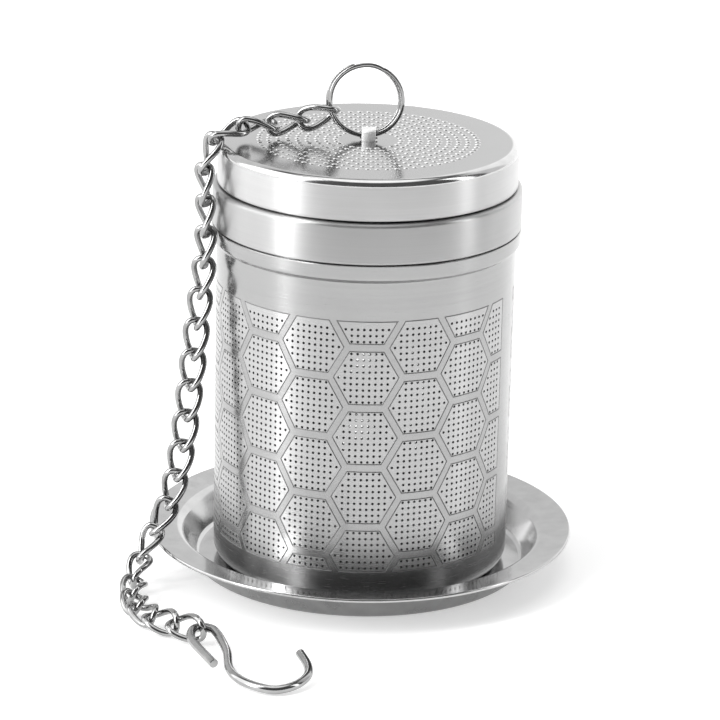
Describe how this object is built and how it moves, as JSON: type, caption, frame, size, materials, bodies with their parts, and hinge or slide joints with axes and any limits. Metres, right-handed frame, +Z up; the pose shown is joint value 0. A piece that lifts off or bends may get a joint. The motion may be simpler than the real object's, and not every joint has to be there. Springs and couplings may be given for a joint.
{
  "type": "tea infuser",
  "caption": "Perforated metal tea basket with a lift-off threaded lid, a split ring and twisted-link chain ending in a cup hook, standing in a drip saucer.",
  "frame": {"origin": "centre of the underside of the saucer, on the basket axis at table height", "axes": "+Z up along the basket axis, -Y towards the front, the chain hangs on the -X side"},
  "size_m": [0.0756, 0.0969, 0.0869],
  "materials": {
    "satin_steel": "satin, faint spun lines",
    "bright_steel": "polished",
    "etched_steel": "satin with etched outlines",
    "chain_steel": "polished wire",
    "hook_steel": "drawn wire, bright"
  },
  "bodies": {
    "saucer": {"saucer": "bright_steel"},
    "basket": {"basket_wall": "etched_steel", "basket_floor": "etched_steel", "collar": "satin_steel", "neck_thread_ring": "satin_steel"},
    "lid": {"lid_cap": "satin_steel", "lid_thread_ring": "satin_steel", "lid_strap": "bright_steel"},
    "ring": {"split_ring": "bright_steel"},
    "link_01": {"chain_link_01": "chain_steel"},
    "link_02": {"chain_link_02": "chain_steel"},
    "link_03": {"chain_link_03": "chain_steel"},
    "link_04": {"chain_link_04": "chain_steel"},
    "link_05": {"chain_link_05": "chain_steel"},
    "link_06": {"chain_link_06": "chain_steel"},
    "link_07": {"chain_link_07": "chain_steel"},
    "link_08": {"chain_link_08": "chain_steel"},
    "link_09": {"chain_link_09": "chain_steel"},
    "link_10": {"chain_link_10": "chain_steel"},
    "link_11": {"chain_link_11": "chain_steel"},
    "link_12": {"chain_link_12": "chain_steel"},
    "link_13": {"chain_link_13": "chain_steel"},
    "link_14": {"chain_link_14": "chain_steel"},
    "link_15": {"chain_link_15": "chain_steel"},
    "link_16": {"chain_link_16": "chain_steel"},
    "link_17": {"chain_link_17": "chain_steel"},
    "link_18": {"chain_link_18": "chain_steel"},
    "link_19": {"chain_link_19": "chain_steel"},
    "link_20": {"chain_link_20": "chain_steel"},
    "link_21": {"chain_link_21": "chain_steel"},
    "link_22": {"chain_link_22": "chain_steel"},
    "link_23": {"chain_link_23": "chain_steel"},
    "link_24": {"chain_link_24": "chain_steel"},
    "hook": {"s_hook": "hook_steel"}
  },
  "joints": [
    {"name": "basket_lift", "type": "slide", "parent": "saucer", "child": "basket", "axis": [0, 0, 1], "range_m": [0, 0.04]},
    {"name": "lid_lift", "type": "slide", "parent": "basket", "child": "lid", "axis": [0, 0, 1], "range_m": [0, 0.04]},
    {"name": "ring_swing", "type": "hinge", "parent": "lid", "child": "ring", "pos_m": [-0.0007, 0, 0.07445], "axis": [-1, 0, 0], "range_deg": [0, 50]},
    {"name": "link_01_swing", "type": "hinge", "parent": "ring", "child": "link_01", "pos_m": [-0.00588, 0, 0.0785], "axis": [-0.7071, 0.7071, 0], "range_deg": [0, 12]},
    {"name": "link_02_swing", "type": "hinge", "parent": "link_01", "child": "link_02", "pos_m": [-0.01085, -0.00049, 0.07701], "axis": [-1, 0, 0], "range_deg": [0, 12]},
    {"name": "link_03_swing", "type": "hinge", "parent": "link_02", "child": "link_03", "pos_m": [-0.01593, -0.00138, 0.0763], "axis": [-0.7071, 0.7071, 0], "range_deg": [0, 12]},
    {"name": "link_04_swing", "type": "hinge", "parent": "link_03", "child": "link_04", "pos_m": [-0.02077, -0.00328, 0.07648], "axis": [-1, 0, 0], "range_deg": [0, 12]},
    {"name": "link_05_swing", "type": "hinge", "parent": "link_04", "child": "link_05", "pos_m": [-0.02527, -0.00526, 0.07472], "axis": [-0.7071, 0.7071, 0], "range_deg": [0, 12]},
    {"name": "link_06_swing", "type": "hinge", "parent": "link_05", "child": "link_06", "pos_m": [-0.02684, -0.00646, 0.0699], "axis": [-1, 0, 0], "range_deg": [0, 12]},
    {"name": "link_07_swing", "type": "hinge", "parent": "link_06", "child": "link_07", "pos_m": [-0.02661, -0.00706, 0.06472], "axis": [-0.7071, 0.7071, 0], "range_deg": [0, 12]},
    {"name": "link_08_swing", "type": "hinge", "parent": "link_07", "child": "link_08", "pos_m": [-0.02646, -0.00762, 0.05954], "axis": [-1, 0, 0], "range_deg": [0, 12]},
    {"name": "link_09_swing", "type": "hinge", "parent": "link_08", "child": "link_09", "pos_m": [-0.02666, -0.0081, 0.05436], "axis": [-0.7071, 0.7071, 0], "range_deg": [0, 12]},
    {"name": "link_10_swing", "type": "hinge", "parent": "link_09", "child": "link_10", "pos_m": [-0.02719, -0.00853, 0.04919], "axis": [-1, 0, 0], "range_deg": [0, 12]},
    {"name": "link_11_swing", "type": "hinge", "parent": "link_10", "child": "link_11", "pos_m": [-0.02772, -0.00908, 0.04402], "axis": [-0.7071, 0.7071, 0], "range_deg": [0, 12]},
    {"name": "link_12_swing", "type": "hinge", "parent": "link_11", "child": "link_12", "pos_m": [-0.02821, -0.00966, 0.03883], "axis": [-1, 0, 0], "range_deg": [0, 12]},
    {"name": "link_13_swing", "type": "hinge", "parent": "link_12", "child": "link_13", "pos_m": [-0.02872, -0.01022, 0.03368], "axis": [-0.7071, 0.7071, 0], "range_deg": [0, 12]},
    {"name": "link_14_swing", "type": "hinge", "parent": "link_13", "child": "link_14", "pos_m": [-0.02928, -0.01078, 0.02849], "axis": [-1, 0, 0], "range_deg": [0, 12]},
    {"name": "link_15_swing", "type": "hinge", "parent": "link_14", "child": "link_15", "pos_m": [-0.02987, -0.01133, 0.02335], "axis": [-0.7071, 0.7071, 0], "range_deg": [0, 12]},
    {"name": "link_16_swing", "type": "hinge", "parent": "link_15", "child": "link_16", "pos_m": [-0.03079, -0.01178, 0.01825], "axis": [-1, 0, 0], "range_deg": [0, 12]},
    {"name": "link_17_swing", "type": "hinge", "parent": "link_16", "child": "link_17", "pos_m": [-0.03208, -0.01204, 0.01322], "axis": [-0.7071, 0.7071, 0], "range_deg": [0, 12]},
    {"name": "link_18_swing", "type": "hinge", "parent": "link_17", "child": "link_18", "pos_m": [-0.03443, -0.01252, 0.00857], "axis": [-1, 0, 0], "range_deg": [0, 12]},
    {"name": "link_19_swing", "type": "hinge", "parent": "link_18", "child": "link_19", "pos_m": [-0.0365, -0.01498, 0.00447], "axis": [-0.7071, 0.7071, 0], "range_deg": [0, 12]},
    {"name": "link_20_swing", "type": "hinge", "parent": "link_19", "child": "link_20", "pos_m": [-0.03725, -0.01965, 0.00229], "axis": [0, 0, -1], "range_deg": [0, 12]},
    {"name": "link_21_swing", "type": "hinge", "parent": "link_20", "child": "link_21", "pos_m": [-0.03724, -0.02482, 0.00177], "axis": [0, 0, -1], "range_deg": [0, 12]},
    {"name": "link_22_swing", "type": "hinge", "parent": "link_21", "child": "link_22", "pos_m": [-0.03615, -0.02991, 0.00176], "axis": [0, 0, -1], "range_deg": [0, 12]},
    {"name": "link_23_swing", "type": "hinge", "parent": "link_22", "child": "link_23", "pos_m": [-0.03362, -0.03447, 0.0019], "axis": [0, 0, -1], "range_deg": [0, 12]},
    {"name": "link_24_swing", "type": "hinge", "parent": "link_23", "child": "link_24", "pos_m": [-0.02969, -0.03789, 0.00217], "axis": [0, 0, -1], "range_deg": [0, 12]},
    {"name": "hook_swing", "type": "hinge", "parent": "link_24", "child": "hook", "pos_m": [-0.02532, -0.04072, 0.00241], "axis": [0, 0, -1], "range_deg": [-10, 12]}
  ]
}
